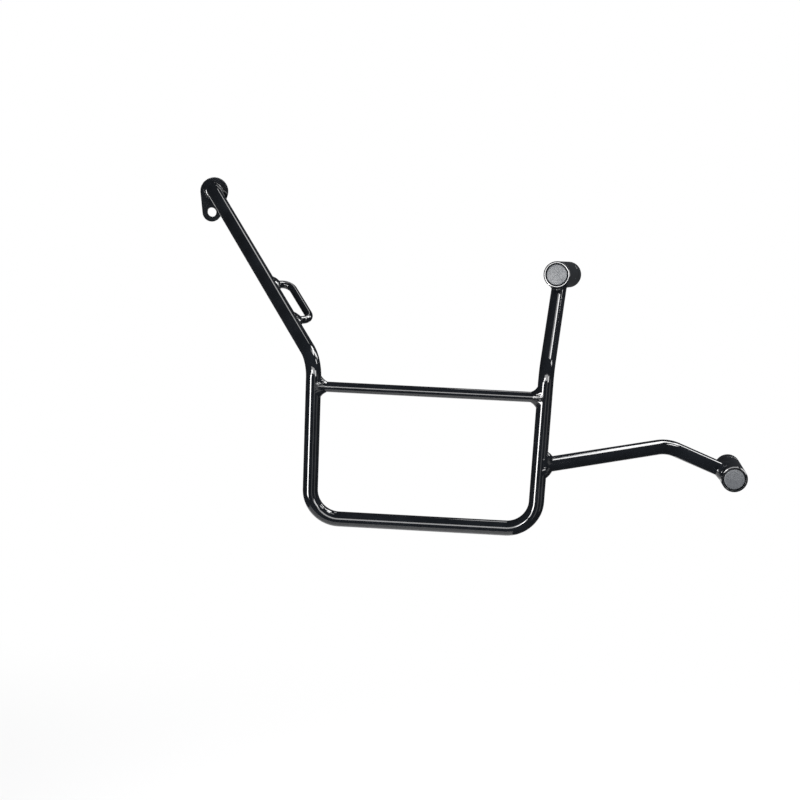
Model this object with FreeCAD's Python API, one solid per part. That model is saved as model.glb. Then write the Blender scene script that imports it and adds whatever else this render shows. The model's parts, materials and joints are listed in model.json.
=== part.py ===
"""Side pannier frame: a bent tube loop with a cross bar, front strut, lashing hook and three mounting points.

Millimetres, +X forward, +Y inboard, +Z up. The frame is drawn from the loop's lower rear corner, and is moved
at the end so that the origin is the centre of the upper spacer's mounting face.
"""
import FreeCAD, Part
import math
import os

# Bar stock, over the coat
tube_diameter = 12.4
tube_wall = 1.7
cross_bar_diameter = 8.4
hook_rod_diameter = 6.6

# Loop, along its centre lines
loop_bottom_width = 184.0
loop_top_width = 186.5
inward_bend_height = 131.0
cross_bar_below_bend = 7.0
tube_bend_radius = 24.0

# Rear end of the loop tube, where its slanted run meets the mounting tab
rear_end_back = 115.5
rear_end_inboard = 184.0
rear_end_height = 248.5

# Mounting tab
tab_thickness = 4.0
tab_hole_back = 1.8
tab_hole_below = 19.0
tab_hole_diameter = 8.5
tab_hole_land = 4.2
tab_seat_edge = 1.2

# Lashing hook on the slanted run
hook_from_bend = 78.0
hook_length = 50.0
hook_reach = 19.3
hook_bend_radius = 8.0

# Front strut
strut_root_height = 53.5
strut_bend_forward = 291.5
strut_bend_inboard = 45.0
strut_bend_height = 65.5
strut_bend_radius = 36.0

# Upper boss: centre of its outer face, and the lean of its axis
upper_forward = 192.1
upper_inboard = 50.0
upper_height = 203.0
upper_yaw_deg = 12.0
upper_drop_deg = 6.0
upper_boss_length = 45.0
upper_spacer_length = 15.0
upper_joint_depth = 21.5

# Lower boss: centre of its outer face, with its axis straight across
lower_forward = 349.2
lower_inboard = 46.0
lower_height = 39.5
lower_boss_length = 36.0
lower_spacer_length = 10.0
lower_joint_depth = 19.5

# Bolts and washers
shank_diameter = 7.2
thread_diameter = 7.9
bolt_clearance = 0.3
thread_length = 17.0
thread_chamfer = 1.0
head_diameter = 13.0
head_height = 8.0
head_chamfer = 0.8
socket_across_flats = 6.0
socket_depth = 4.0
washer_margin = 1.5
washer_thickness = 1.6

# Bosses, spacers and caps
recess_clearance = 0.3
cap_shoulder = 0.9
boss_rim_wall = 1.8
boss_rim_round = 0.7
mouth_step = 0.5
mouth_depth = 1.0
sleeve_chamfer = 0.8
cap_clearance = 0.05
cap_thickness = 3.0
cap_sink = 0.3
cap_dome = 0.4
cap_edge_round = 0.6
cap_flange = 0.45
cap_skirt_depth = 4.0
cap_skirt_wall = 1.2
head_gap = 0.5

# Weld beads: radius of a concave bead, and legs of a collar bead along each bar
cross_bar_weld = 5.5
strut_weld_along = 3.2
strut_weld_up = 1.4
hook_weld = 3.0
lower_boss_weld = 4.0
upper_boss_weld = 1.6
tab_weld = 2.2
tab_weld_crest = 0.5
collar_round = 0.7
seam_tolerance = 1e-4

# Directions and places that follow from the sizes above
vector = FreeCAD.Vector
across = vector(0, 1, 0)
rear_bottom = vector(0, 0, 0)
front_bottom = vector(loop_bottom_width, 0, 0)
rear_bend = vector(0, 0, inward_bend_height)
front_bend = vector(loop_top_width, 0, inward_bend_height)
rear_end = vector(-rear_end_back, rear_end_inboard, rear_end_height)
slant = (rear_end - rear_bend).normalize()
rear_turn = slant.getAngle(vector(0, 0, 1))
cross_bar_height = inward_bend_height - tube_bend_radius * math.tan(rear_turn / 2) - cross_bar_below_bend

yaw = math.radians(upper_yaw_deg)
drop = math.radians(upper_drop_deg)
upper_axis = vector(math.sin(yaw) * math.cos(drop), math.cos(yaw) * math.cos(drop), -math.sin(drop))
upper_face = vector(upper_forward, upper_inboard, upper_height)
upper_joint = upper_face + upper_axis * upper_joint_depth
upper_stack = upper_boss_length + upper_spacer_length
lower_face = vector(lower_forward, lower_inboard, lower_height)
lower_joint = lower_face + across * lower_joint_depth
origin = upper_face + upper_axis * upper_stack
trim_reach = 4 * tube_diameter

# Round sizes of the bolted joint, each fitted round the last
bore_radius = thread_diameter / 2 + bolt_clearance
washer_radius = head_diameter / 2 + washer_margin
recess_radius = washer_radius + recess_clearance
cap_recess_radius = recess_radius + cap_shoulder
boss_radius = cap_recess_radius + boss_rim_wall
washer_depth = cap_thickness + cap_skirt_depth + head_gap + head_height
recess_depth = washer_depth + washer_thickness


def on_front_upright(height):
    """Point on the front upright's centre line at a height above the bottom tube."""
    return front_bottom + (front_bend - front_bottom) * (height / inward_bend_height)


def bent_path(points, radius):
    """Wire of straight runs through the points, with a tangent arc of the radius at each inner point."""
    edges = []
    start = points[0]
    for before, corner, after in zip(points, points[1:], points[2:]):
        back = (before - corner).normalize()
        ahead = (after - corner).normalize()
        half = back.getAngle(ahead) / 2
        enter = corner + back * (radius / math.tan(half))
        leave = corner + ahead * (radius / math.tan(half))
        middle = corner + (back + ahead).normalize() * (radius / math.sin(half) - radius)
        edges.append(Part.LineSegment(start, enter).toShape())
        edges.append(Part.Arc(enter, middle, leave).toShape())
        start = leave
    edges.append(Part.LineSegment(start, points[-1]).toShape())
    return Part.Wire(edges)


def bent_bar(points, radius, diameter):
    """Solid round bar along a bent path."""
    section = Part.makeCircle(diameter / 2, points[0], points[1] - points[0])
    return bent_path(points, radius).makePipe(Part.Face(Part.Wire(section)))


def bent_tube(points, radius):
    """Outer bar of the tube stock along a bent path, and the bar that is its bore."""
    outer = bent_bar(points, radius, tube_diameter)
    bore = bent_bar(points, radius, tube_diameter - 2 * tube_wall)
    return outer, bore


def straight_bar(start, end, diameter):
    """Solid round bar between two points."""
    return Part.makeCylinder(diameter / 2, (end - start).Length, start, end - start)


def loop_bars():
    """Loop tube's outer bar and bore, run past the tab's face and up to the upper boss's axis."""
    past_tab = rear_end + slant * tube_diameter
    points = [past_tab, rear_bend, rear_bottom, front_bottom, front_bend, upper_joint]
    return bent_tube(points, tube_bend_radius)


def strut_points():
    """Strut's centre line, from the front upright's to the lower boss's axis."""
    bend = vector(strut_bend_forward, strut_bend_inboard, strut_bend_height)
    return [on_front_upright(strut_root_height), bend, lower_joint]


def cross_bar_ends():
    """Ends of the cross bar's centre line, on those of the two uprights."""
    return vector(0, 0, cross_bar_height), on_front_upright(cross_bar_height)


def hook_points():
    """Hook's centre line: level legs square to the slanted run, joined by a rod along it."""
    reach = slant.cross(vector(0, 0, 1)).normalize() * hook_reach
    low = rear_bend + slant * (hook_from_bend - hook_length / 2)
    high = low + slant * hook_length
    return [low, low + reach, high + reach, high]


def behind_tab_face():
    """Block of everything inboard of the tab's outer face, near the tube's rear end."""
    corner = vector(rear_end.x - trim_reach / 2, rear_end.y, rear_end.z - trim_reach / 2)
    return Part.makeBox(trim_reach, trim_reach, trim_reach, corner)


def rear_tab():
    """Flat lug: a round seat behind the tube's end, drawn in to a round end with the bolt hole."""
    seat_radius = (tube_diameter / 2 + tab_weld) / slant.y + tab_seat_edge
    nose_radius = tab_hole_diameter / 2 + tab_hole_land
    hole = rear_end + vector(-tab_hole_back, 0, -tab_hole_below)
    along = hole - rear_end
    lean = math.asin((seat_radius - nose_radius) / along.Length)
    along.normalize()
    side = along.cross(across)
    normals = [side * (sign * math.cos(lean)) + along * math.sin(lean) for sign in (1, -1)]
    seat_touch = [rear_end + normal * seat_radius for normal in normals]
    nose_touch = [hole + normal * nose_radius for normal in normals]
    border = Part.Wire([
        Part.Arc(seat_touch[1], rear_end - along * seat_radius, seat_touch[0]).toShape(),
        Part.LineSegment(seat_touch[0], nose_touch[0]).toShape(),
        Part.Arc(nose_touch[0], hole + along * nose_radius, nose_touch[1]).toShape(),
        Part.LineSegment(nose_touch[1], seat_touch[1]).toShape(),
    ])
    plate = Part.Face(border).extrude(across * tab_thickness)
    return plate.cut(Part.makeCylinder(tab_hole_diameter / 2, tab_thickness, hole, across))


def outline(points):
    """Closed wire of (radius, depth) points; a point with a third value is the start of an arc through it."""
    edges = []
    for here, there in zip(points, points[1:] + points[:1]):
        start = vector(here[0], 0, here[1])
        end = vector(there[0], 0, there[1])
        if len(here) == 3:
            edges.append(Part.Arc(start, vector(here[2][0], 0, here[2][1]), end).toShape())
        else:
            edges.append(Part.LineSegment(start, end).toShape())
    return Part.Wire(edges)


def round_middle(radius, depth, size):
    """Middle of the quarter round on an outer corner at a radius and depth."""
    shift = size * (1 - math.sqrt(0.5))
    return radius - shift, depth + shift


def set_on_axis(shape, face, axis, depth=0.0):
    """Moves a shape drawn along +Z to an axis, at a depth inboard of a boss's outer face."""
    shape.Placement = FreeCAD.Placement(face + axis * depth, FreeCAD.Rotation(vector(0, 0, 1), axis))
    return shape


def turned(points, face, axis, depth=0.0):
    """Round solid of a (radius, depth) outline, set on an axis."""
    solid = Part.Face(outline(points)).revolve(vector(0, 0, 0), vector(0, 0, 1), 360)
    return set_on_axis(solid, face, axis, depth)


def boss(face, axis, length):
    """Sleeve with a rounded rim, a wider mouth, a stepped recess for the cap and bolt, and a bolt bore."""
    mouth_radius = cap_recess_radius + mouth_step
    return turned([
        (mouth_radius, 0),
        (boss_radius - boss_rim_round, 0, round_middle(boss_radius, 0, boss_rim_round)),
        (boss_radius, boss_rim_round),
        (boss_radius, length - sleeve_chamfer),
        (boss_radius - sleeve_chamfer, length),
        (bore_radius, length),
        (bore_radius, recess_depth),
        (recess_radius, recess_depth),
        (recess_radius, cap_thickness),
        (cap_recess_radius, cap_thickness),
        (cap_recess_radius, mouth_depth),
        (mouth_radius, mouth_depth),
    ], face, axis)


def spacer(face, axis, depth, length):
    """Plain sleeve behind a boss, chamfered at both ends."""
    return turned([
        (bore_radius, 0),
        (boss_radius - sleeve_chamfer, 0),
        (boss_radius, sleeve_chamfer),
        (boss_radius, length - sleeve_chamfer),
        (boss_radius - sleeve_chamfer, length),
        (bore_radius, length),
    ], face, axis, depth)


def cap(face, axis):
    """Rubber plug: a domed button, a flange on the recess's shoulder, and a skirt in the wall below."""
    flange = cap_recess_radius - cap_clearance
    button = flange - cap_flange
    skirt = recess_radius - cap_clearance
    dome_edge = button - cap_edge_round
    skirt_end = cap_thickness + cap_skirt_depth
    crown = cap_sink - cap_dome
    dome_radius = (dome_edge ** 2 + cap_dome ** 2) / (2 * cap_dome)
    half = math.asin(dome_edge / dome_radius) / 2
    return turned([
        (0, crown, (dome_radius * math.sin(half), crown + dome_radius * (1 - math.cos(half)))),
        (dome_edge, cap_sink, round_middle(button, cap_sink, cap_edge_round)),
        (button, cap_sink + cap_edge_round),
        (button, mouth_depth),
        (flange, mouth_depth),
        (flange, cap_thickness),
        (skirt, cap_thickness),
        (skirt, skirt_end),
        (skirt - cap_skirt_wall, skirt_end),
        (skirt - cap_skirt_wall, cap_thickness),
        (0, cap_thickness),
    ], face, axis)


def washer(face, axis):
    """Flat washer on the floor of the recess."""
    return turned([
        (bore_radius, 0),
        (washer_radius, 0),
        (washer_radius, washer_thickness),
        (bore_radius, washer_thickness),
    ], face, axis, washer_depth)


def bolt(face, axis, stack_length):
    """Socket head bolt: a reduced shank through both sleeves, and a thread beyond the mounting face."""
    head_radius = head_diameter / 2
    shank_radius = shank_diameter / 2
    thread_radius = thread_diameter / 2
    shank_end = stack_length - washer_depth
    tip = shank_end + thread_length
    body = turned([
        (0, -head_height),
        (head_radius - head_chamfer, -head_height),
        (head_radius, head_chamfer - head_height),
        (head_radius, 0),
        (shank_radius, 0),
        (shank_radius, shank_end),
        (thread_radius, shank_end),
        (thread_radius, tip - thread_chamfer),
        (thread_radius - thread_chamfer, tip),
        (0, tip),
    ], face, axis, washer_depth)
    sixth = FreeCAD.Rotation(vector(0, 0, 1), 60)
    corners = [vector(socket_across_flats / math.sqrt(3), 0, 0)]
    for step in range(6):
        corners.append(sixth.multVec(corners[step]))
    socket = Part.Face(Part.makePolygon(corners)).extrude(vector(0, 0, socket_depth))
    return body.cut(set_on_axis(socket, face, axis, washer_depth - head_height))


def bolted_joint(name, face, axis, boss_length, spacer_length):
    """Boss, spacer, bolt, washer and cap on one axis."""
    return {
        name + "_boss": boss(face, axis, boss_length),
        name + "_spacer": spacer(face, axis, boss_length, spacer_length),
        name + "_bolt": bolt(face, axis, boss_length + spacer_length),
        name + "_washer": washer(face, axis),
        name + "_cap": cap(face, axis),
    }


def seam_edges(joint, first, second):
    """Edges of a shape that lie on the skins of two other solids."""
    edges = []
    for edge in joint.Edges:
        middle = Part.Vertex(edge.valueAt((edge.FirstParameter + edge.LastParameter) / 2))
        if all(middle.distToShape(skin)[0] < seam_tolerance for skin in (first.Shells[0], second.Shells[0])):
            edges.append(edge)
    return edges


def fillet_bead(carrier, branch, radius):
    """Concave weld bead: the joint of two bars with its seam filleted, less the bars themselves."""
    joint = carrier.fuse(branch)
    return joint.makeFillet(radius, seam_edges(joint, carrier, branch)).cut(joint)


def collar_bead(carrier, branch, leg_on_branch, leg_on_carrier):
    """Convex weld bead: what lies close to two straight bars, outside both, with its crest rounded over."""
    wide_carrier = straight_bar(carrier[0], carrier[1], carrier[2] + 2 * leg_on_branch)
    wide_branch = straight_bar(branch[0], branch[1], branch[2] + 2 * leg_on_carrier)
    ring = wide_carrier.common(wide_branch)
    crest = seam_edges(ring, wide_carrier, wide_branch)
    ring = ring.makeFillet(collar_round * min(leg_on_branch, leg_on_carrier), crest)
    return ring.cut(straight_bar(*carrier)).cut(straight_bar(*branch))


def strut_bead():
    """Collar round the strut's root, on the front upright."""
    root, bend = strut_points()[:2]
    upright = (front_bottom, front_bend, tube_diameter)
    stub = (root, root + (bend - root).normalize() * trim_reach, tube_diameter)
    return collar_bead(upright, stub, strut_weld_along, strut_weld_up)


def upper_boss_bead():
    """Collar where the leaning riser runs into the underside of the upper boss."""
    riser = (front_bend, upper_joint, tube_diameter)
    sleeve = (upper_face, upper_face + upper_axis * upper_boss_length, 2 * boss_radius)
    return collar_bead(sleeve, riser, upper_boss_weld, upper_boss_weld)


def slant_section(depth, radius):
    """Ellipse in which a bar on the slanted run meets a plane at a depth outboard of the tab's outer face."""
    middle = rear_end - slant * (depth / slant.y)
    lean = vector(slant.x, 0, slant.z).normalize()
    side = lean.cross(across)
    return Part.Wire(Part.Ellipse(middle + lean * (radius / slant.y), middle + side * radius, middle).toShape())


def tab_bead():
    """Tapered bead round the tube's slanted end, on the tab's outer face."""
    foot = slant_section(0, tube_diameter / 2 + tab_weld)
    crest = slant_section(tab_weld, tube_diameter / 2 + tab_weld_crest)
    tube = straight_bar(rear_bend, rear_end + slant * trim_reach, tube_diameter)
    return Part.makeLoft([foot, crest], True, True).cut(tube)


def welded_frame():
    """Loop tube, the bars coped to it, the tab, and the beads that join them and the bosses."""
    loop, loop_bore = loop_bars()
    strut, strut_bore = bent_tube(strut_points(), strut_bend_radius)
    cross_bar = straight_bar(*cross_bar_ends(), cross_bar_diameter)
    hook = bent_bar(hook_points(), hook_bend_radius, hook_rod_diameter)
    upper_sleeve = Part.makeCylinder(boss_radius, upper_boss_length, upper_face, upper_axis)
    lower_sleeve = Part.makeCylinder(boss_radius, lower_boss_length, lower_face, across)
    cross_beads = fillet_bead(loop, cross_bar, cross_bar_weld).Solids
    cross_beads.sort(key=lambda bead: bead.CenterOfMass.x)
    hook_beads = fillet_bead(loop, hook, hook_weld).Solids
    hook_beads.sort(key=lambda bead: bead.CenterOfMass.z)
    return {
        "main_loop_tube": loop.cut(loop_bore).cut(upper_sleeve).cut(behind_tab_face()),
        "front_strut": strut.cut(strut_bore).cut(loop).cut(lower_sleeve),
        "cross_bar": cross_bar.cut(loop),
        "lashing_hook": hook.cut(loop),
        "rear_tab": rear_tab(),
        "cross_bar_rear_weld": cross_beads[0],
        "cross_bar_front_weld": cross_beads[1],
        "hook_lower_weld": hook_beads[0],
        "hook_upper_weld": hook_beads[1],
        "strut_weld": strut_bead(),
        "upper_boss_weld": upper_boss_bead(),
        "lower_boss_weld": fillet_bead(lower_sleeve, strut, lower_boss_weld),
        "rear_tab_weld": tab_bead(),
    }


def main():
    pieces = welded_frame()
    pieces.update(bolted_joint("upper", upper_face, upper_axis, upper_boss_length, upper_spacer_length))
    pieces.update(bolted_joint("lower", lower_face, across, lower_boss_length, lower_spacer_length))
    os.makedirs("parts", exist_ok=True)
    for name, shape in pieces.items():
        shape.translate(-origin)
        shape.exportStep(os.path.join("parts", name + ".step"))


main()
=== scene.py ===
"""Finish of a welded side pannier frame: bars, weld beads, bosses and caps, in a plain studio."""
import json
import math

import bmesh
import bpy
from bpy.props import FloatProperty, FloatVectorProperty, PointerProperty
from bpy.types import Operator, Panel, PropertyGroup
from mathutils import Matrix, Vector


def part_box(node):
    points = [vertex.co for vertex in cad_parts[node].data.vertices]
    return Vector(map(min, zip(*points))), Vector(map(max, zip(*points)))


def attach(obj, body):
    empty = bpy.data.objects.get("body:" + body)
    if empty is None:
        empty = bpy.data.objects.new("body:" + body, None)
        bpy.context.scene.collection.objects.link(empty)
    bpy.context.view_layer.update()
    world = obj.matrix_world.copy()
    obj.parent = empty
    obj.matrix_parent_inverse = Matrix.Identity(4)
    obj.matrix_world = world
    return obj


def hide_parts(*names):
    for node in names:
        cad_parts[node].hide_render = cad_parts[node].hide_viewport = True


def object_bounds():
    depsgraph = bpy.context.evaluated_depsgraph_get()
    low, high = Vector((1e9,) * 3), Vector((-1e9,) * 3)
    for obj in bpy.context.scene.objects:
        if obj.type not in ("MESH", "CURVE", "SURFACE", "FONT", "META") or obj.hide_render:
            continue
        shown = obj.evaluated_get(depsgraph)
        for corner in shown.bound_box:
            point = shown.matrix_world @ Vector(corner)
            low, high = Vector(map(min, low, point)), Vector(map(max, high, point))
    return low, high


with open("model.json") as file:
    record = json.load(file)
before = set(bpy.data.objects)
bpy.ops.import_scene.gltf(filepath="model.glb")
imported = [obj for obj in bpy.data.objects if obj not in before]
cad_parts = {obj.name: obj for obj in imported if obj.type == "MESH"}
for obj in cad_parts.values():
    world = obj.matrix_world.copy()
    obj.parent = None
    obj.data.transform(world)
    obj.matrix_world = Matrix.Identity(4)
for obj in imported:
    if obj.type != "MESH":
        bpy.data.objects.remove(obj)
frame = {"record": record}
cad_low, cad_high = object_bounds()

bl_info = {
    "name": "Pannier frame finish",
    "version": (1, 0, 0),
    "blender": (4, 5, 0),
    "location": "3D View > Sidebar > Pannier",
    "description": "Builds the finished bars, beads, bosses and caps of a side pannier frame, and a studio",
    "category": "Object",
}

# Fineness of the meshes
BAR_SIDES = 64
TURNED_SIDES = 96
BEND_STEPS = 24
ROUND_STEPS = 4
BEAD_FACE_STEPS = 9
STEPS_PER_RIPPLE = 8
THREAD_STEPS = 36
DOME_STEPS = 8
RIB_STEPS = 32
MERGE_DISTANCE = 1e-6
THREAD_MERGE_DISTANCE = 1e-5
SHARP_ANGLE = math.radians(40)
FLAT_WEIGHT = 100

# Weld beads: lean of the foot round its carrier, trail of the ripples, and two sets of slow lumps
CARRIER_WRAP = 0.35
RIPPLE_TRAIL = 0.9
BROAD_LUMPS = 2
BROAD_LUMP_SHARE = 0.6
CLOSE_LUMPS = 5
CLOSE_LUMP_SHARE = 0.4
CLOSE_LUMP_SHIFT = 2.3

# Caps and bolts: top of a cap's rib as shares of its foot, crest of the thread as shares of its pitch
RIB_TOP_LENGTH = 0.96
RIB_TOP_WIDTH = 0.5
SOCKET_SIDES = 6
CREST_START = 0.44
CREST_END = 0.56
SPARE_TURNS = 2

# Noise in the finishes, and the floor's paper
DRIFT_DETAIL = 3.0
GRAIN_DETAIL = 2.0
NOISE_LOW = 0.3
NOISE_HIGH = 0.7
PAPER_ROUGHNESS = 0.7
PAPER_SHEEN = 0.1

# Lamps: spots and aims in metres from the frame's middle, which a lamp faces unless it says otherwise
LAMPS = {
    "key_box": {"spot": (-1.95, -2.70, -0.70), "width": 0.85, "height": 1.1, "glow": 34},
    "front_box": {"spot": (0.0, -2.5, 0.55), "width": 2.0, "height": 0.8, "glow": 8},
    "top_strip": {"spot": (1.07, 0.25, 2.2), "width": 0.5, "height": 1.8, "glow": 22, "faces_down": True},
    "back_strip": {"spot": (0.12, 1.35, 2.2), "width": 0.34, "height": 0.9, "glow": 5, "faces_down": True},
    "bend_strip": {"spot": (1.7, 0.675, 2.2), "width": 2.1, "height": 0.55, "glow": 22, "faces_down": True},
    "side_panel": {"spot": (1.72, -0.46, 1.28), "width": 0.34, "height": 0.5, "glow": 20},
    "riser_panel": {"spot": (0.53, -0.33, 2.2), "width": 0.6, "height": 0.6, "glow": 4.2, "faces_down": True},
    "right_panel": {"spot": (0.95, -2.35, -0.65), "width": 0.4, "height": 1.2, "glow": 1.4},
    "far_right_panel": {"spot": (2.0, -0.8, -0.55), "width": 0.6, "height": 1.2, "glow": 0.8},
    "ring_box": {"spot": (-1.03, -2.82, 0.36), "width": 0.45, "height": 0.45, "glow": 33},
    "corner_box": {"spot": (-0.62, -2.7, 0.46), "width": 0.5, "height": 0.35, "glow": 20},
    "corner_side_box": {"spot": (-1.42, -2.7, -0.04), "width": 0.45, "height": 0.45, "glow": 28},
    "rim_box": {"spot": (1.68, -2.54, 0.32), "width": 0.9, "height": 0.9, "glow": 14},
    "right_strip": {
        "spot": (1.90, 1.00, 1.45), "aim": (0.25, 0.0, -0.1), "width": 0.5, "height": 0.8, "glow": 15},
}

# Directions and units of the frame
UP = Vector((0, 0, 1))
INBOARD = Vector((0, 1, 0))
MILLIMETRE = 0.001

# Places and sizes taken from the frame
mounts = {mount["name"]: mount for mount in frame["record"]["mounts"]}
tube_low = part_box("main_loop_tube")[0]
bar_low, bar_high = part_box("cross_bar")
boss_low, boss_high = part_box("lower_boss")
spacer_low, spacer_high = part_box("lower_spacer")
tab_low, tab_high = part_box("rear_tab")

TUBE_DIAMETER = 0.0124
CROSS_BAR_DIAMETER = bar_high.z - bar_low.z
BAR_COPE = math.sqrt(TUBE_DIAMETER ** 2 - CROSS_BAR_DIAMETER ** 2) / 2
LOOP_CORNER = (bar_low.x - BAR_COPE, tube_low.y + TUBE_DIAMETER / 2, tube_low.z + TUBE_DIAMETER / 2)
CROSS_BAR_HEIGHT = (bar_low.z + bar_high.z) / 2 - LOOP_CORNER[2]


def length(name, description, default):
    """A length that a user may change."""
    return FloatProperty(name=name, description=description, default=default, unit="LENGTH", precision=5)


def place(name, description, default):
    """A place in the frame's own axes that a user may change."""
    return FloatVectorProperty(
        name=name, description=description, default=default, subtype="XYZ", unit="LENGTH")


def tint(name, description, default):
    """A colour that a user may change."""
    return FloatVectorProperty(
        name=name, description=description, default=default, subtype="COLOR", min=0, max=1)


def slope(name, description, default):
    """A slope that a user may change, as the distance sideways or up for each metre inboard."""
    return FloatProperty(name=name, description=description, default=default)


def bead_size(name, default):
    """Three lengths of a weld bead that a user may change."""
    return FloatVectorProperty(
        name=name, description="Leg up the bar, leg along what it meets, and bulge of the face between them",
        default=default, unit="LENGTH", precision=5)


class PannierSizes(PropertyGroup):
    """Sizes of the bars, the turned pieces and the beads."""

    tube_diameter: length("Tube", "Outside of the loop's and the strut's tube", TUBE_DIAMETER)
    cross_bar_diameter: length("Cross bar", "Outside of the cross bar", CROSS_BAR_DIAMETER)
    hook_rod_diameter: length("Hook rod", "Outside of the hook's rod", 0.0066)
    loop_corner: place("Loop corner", "Where the lines of the rear upright and the bottom cross", LOOP_CORNER)
    loop_bottom_width: length("Bottom width", "Between the uprights' lines at the bottom", 0.184)
    loop_top_width: length("Top width", "Between the uprights' lines at the inward bends", 0.1865)
    inward_bend_height: length("Inward bends", "Height of the inward bends over the bottom tube", 0.131)
    tube_bend_radius: length("Bend radius", "Of the loop tube's bends, on its centre line", 0.024)
    rear_end: place("Rear end", "End of the slanted run, from the loop's corner", (-0.1155, 0.184, 0.2485))
    cross_bar_height: length("Cross bar height", "Over the bottom tube", CROSS_BAR_HEIGHT)
    hook_from_bend: length("Hook from bend", "Middle of the hook along the slanted run", 0.078)
    hook_length: length("Hook length", "Between the lines of the hook's legs", 0.05)
    hook_reach: length("Hook reach", "From the slanted run's line to the rod's", 0.0193)
    hook_bend_radius: length("Hook bend radius", "On the rod's centre line", 0.008)
    strut_root_height: length("Strut root", "Height on the front upright", 0.0535)
    strut_bend: place(
        "Strut bend", "Where the strut's two lines cross, from the loop's corner", (0.2915, 0.045, 0.0655))
    strut_bend_radius: length("Strut bend radius", "On the strut's centre line", 0.036)
    boss_radius: length("Boss radius", "Outside of the bosses and spacers", (boss_high.z - boss_low.z) / 2)
    upper_boss_length: length("Upper boss", "Length of the upper boss", 0.045)
    upper_spacer_length: length("Upper spacer", "Length of the upper spacer", 0.015)
    upper_joint_depth: length("Upper joint", "Riser's line behind the upper boss's outer face", 0.0215)
    lower_boss_length: length("Lower boss", "Length of the lower boss", boss_high.y - boss_low.y)
    lower_spacer_length: length("Lower spacer", "Length of the lower spacer", spacer_high.y - spacer_low.y)
    lower_joint_depth: length("Lower joint", "Strut's line behind the lower boss's outer face", 0.0195)
    rim_width: length("Rim bevel width", "Of the bevel on the outer rim of a boss", 0.0009)
    rim_depth: length("Rim bevel depth", "Of the bevel on the outer rim of a boss", 0.00027)
    rim_round: length("Rim round", "Round on the edges of a boss's rim bevel", 0.0001)
    sleeve_edge_round: length("Sleeve edge", "Round on the other edges of bosses and spacers", 0.0006)
    bore_edge_round: length("Bore edge", "Round on a spacer's bore at its mounting face", 0.0003)
    mouth_round: length("Mouth round", "Round on the inner rim of a boss", 0.0001)
    mouth_step: length("Mouth step", "From the cap's recess out to the boss's inner rim", 0.0003)
    mouth_depth: length("Mouth depth", "Of the groove round a cap", 0.0019)
    mouth_lip: length("Mouth lip", "Thickness of the boss's lip over the cap's flange", 0.0004)
    cap_recess_radius: length("Cap recess", "Radius of the recess that a cap sits in", 0.0092)
    bolt_recess_radius: length("Bolt recess", "Radius of the recess round a bolt's head", 0.0083)
    bolt_bore_radius: length("Bolt bore", "Radius of the bore round a bolt's shank", 0.00425)
    cap_flange: length("Cap flange", "Width of the cap's flange round its button", 0.00055)
    cap_thickness: length("Cap thickness", "Of the cap's disc", 0.003)
    cap_sink: length("Cap sink", "Edge of the cap's dome behind the boss's rim", 0.0003)
    cap_dome: length("Cap dome", "Rise of the cap's dome", 0.0004)
    cap_edge_round: length("Cap edge", "Round on the cap's edge", 0.0006)
    cap_skirt: length("Cap skirt", "Depth of the cap's skirt", 0.004)
    cap_skirt_wall: length("Cap skirt wall", "Thickness of the cap's skirt", 0.0012)
    cap_clearance: length("Cap clearance", "Round the cap in its recess", 0.00005)
    cap_rib_width: length("Cap rib width", "Of the moulded cross on the cap", 0.0008)
    cap_rib_height: length("Cap rib height", "Of the moulded cross on the cap", 0.00012)
    cap_rib_turn: FloatProperty(
        name="Cap rib turn", description="Of the moulded cross on the upper cap", default=math.radians(40),
        unit="ROTATION")
    washer_depth: length("Washer depth", "Outer face of the washer behind the boss's rim", 0.0155)
    washer_thickness: length("Washer", "Thickness of the washer", 0.0016)
    washer_radius: length("Washer radius", "Outside of the washer", 0.008)
    head_diameter: length("Bolt head", "Outside of the bolt's head", 0.013)
    head_height: length("Head height", "Of the bolt's head", 0.008)
    head_edge_round: length("Head edge", "Round on the outer edge of the bolt's head", 0.0006)
    socket_across_flats: length("Socket", "Across the flats of the bolt's socket", 0.006)
    socket_depth: length("Socket depth", "Of the bolt's socket", 0.004)
    shank_diameter: length("Shank", "Outside of the bolt's plain shank", 0.0072)
    thread_diameter: length("Thread", "Outside of the bolt's thread", 0.0079)
    thread_length: length("Thread length", "Beyond the mounting face", 0.017)
    thread_pitch: length("Thread pitch", "Along the bolt for one turn", 0.00125)
    thread_depth: length("Thread depth", "From crest to root", 0.00062)
    tip_chamfer: length("Tip chamfer", "Of the thread's end", 0.000992)
    bolt_edge_round: length("Bolt edges", "Round on the other edges of bolts and washers", 0.0003)
    tab_thickness: length("Tab", "Thickness of the mounting tab", tab_high.y - tab_low.y)
    tab_seat_radius: length("Tab seat", "Radius of the tab behind the tube's end", 0.01247)
    tab_nose_radius: length("Tab nose", "Radius of the tab round its hole", 0.00845)
    tab_edge_round: length("Tab edge", "Round on the coated edges of the tab", 0.0005)
    bar_bead: bead_size("Cross bar beads", (0.0050, 0.0045, -0.0006))
    hook_bead: bead_size("Hook beads", (0.0036, 0.0046, 0.0002))
    strut_bead: bead_size("Strut bead", (0.0050, 0.0048, 0.0002))
    upper_bead: bead_size("Upper boss bead", (0.0026, 0.0018, 0.0003))
    lower_bead: bead_size("Lower boss bead", (0.0038, 0.0034, -0.0002))
    tab_bead: bead_size("Tab bead", (0.0026, 0.0020, 0.0003))
    bead_sink: length("Bead sink", "How far a bead's hidden side lies in the bars", 0.0004)
    ripple_pitch: length("Ripple pitch", "Between the ripples of a bead", 0.0019)
    ripple_height: length("Ripple height", "Of the ripples of a bead", 0.00012)
    lump_height: length("Lump height", "Of the slow lumps along a bead", 0.00022)


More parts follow.
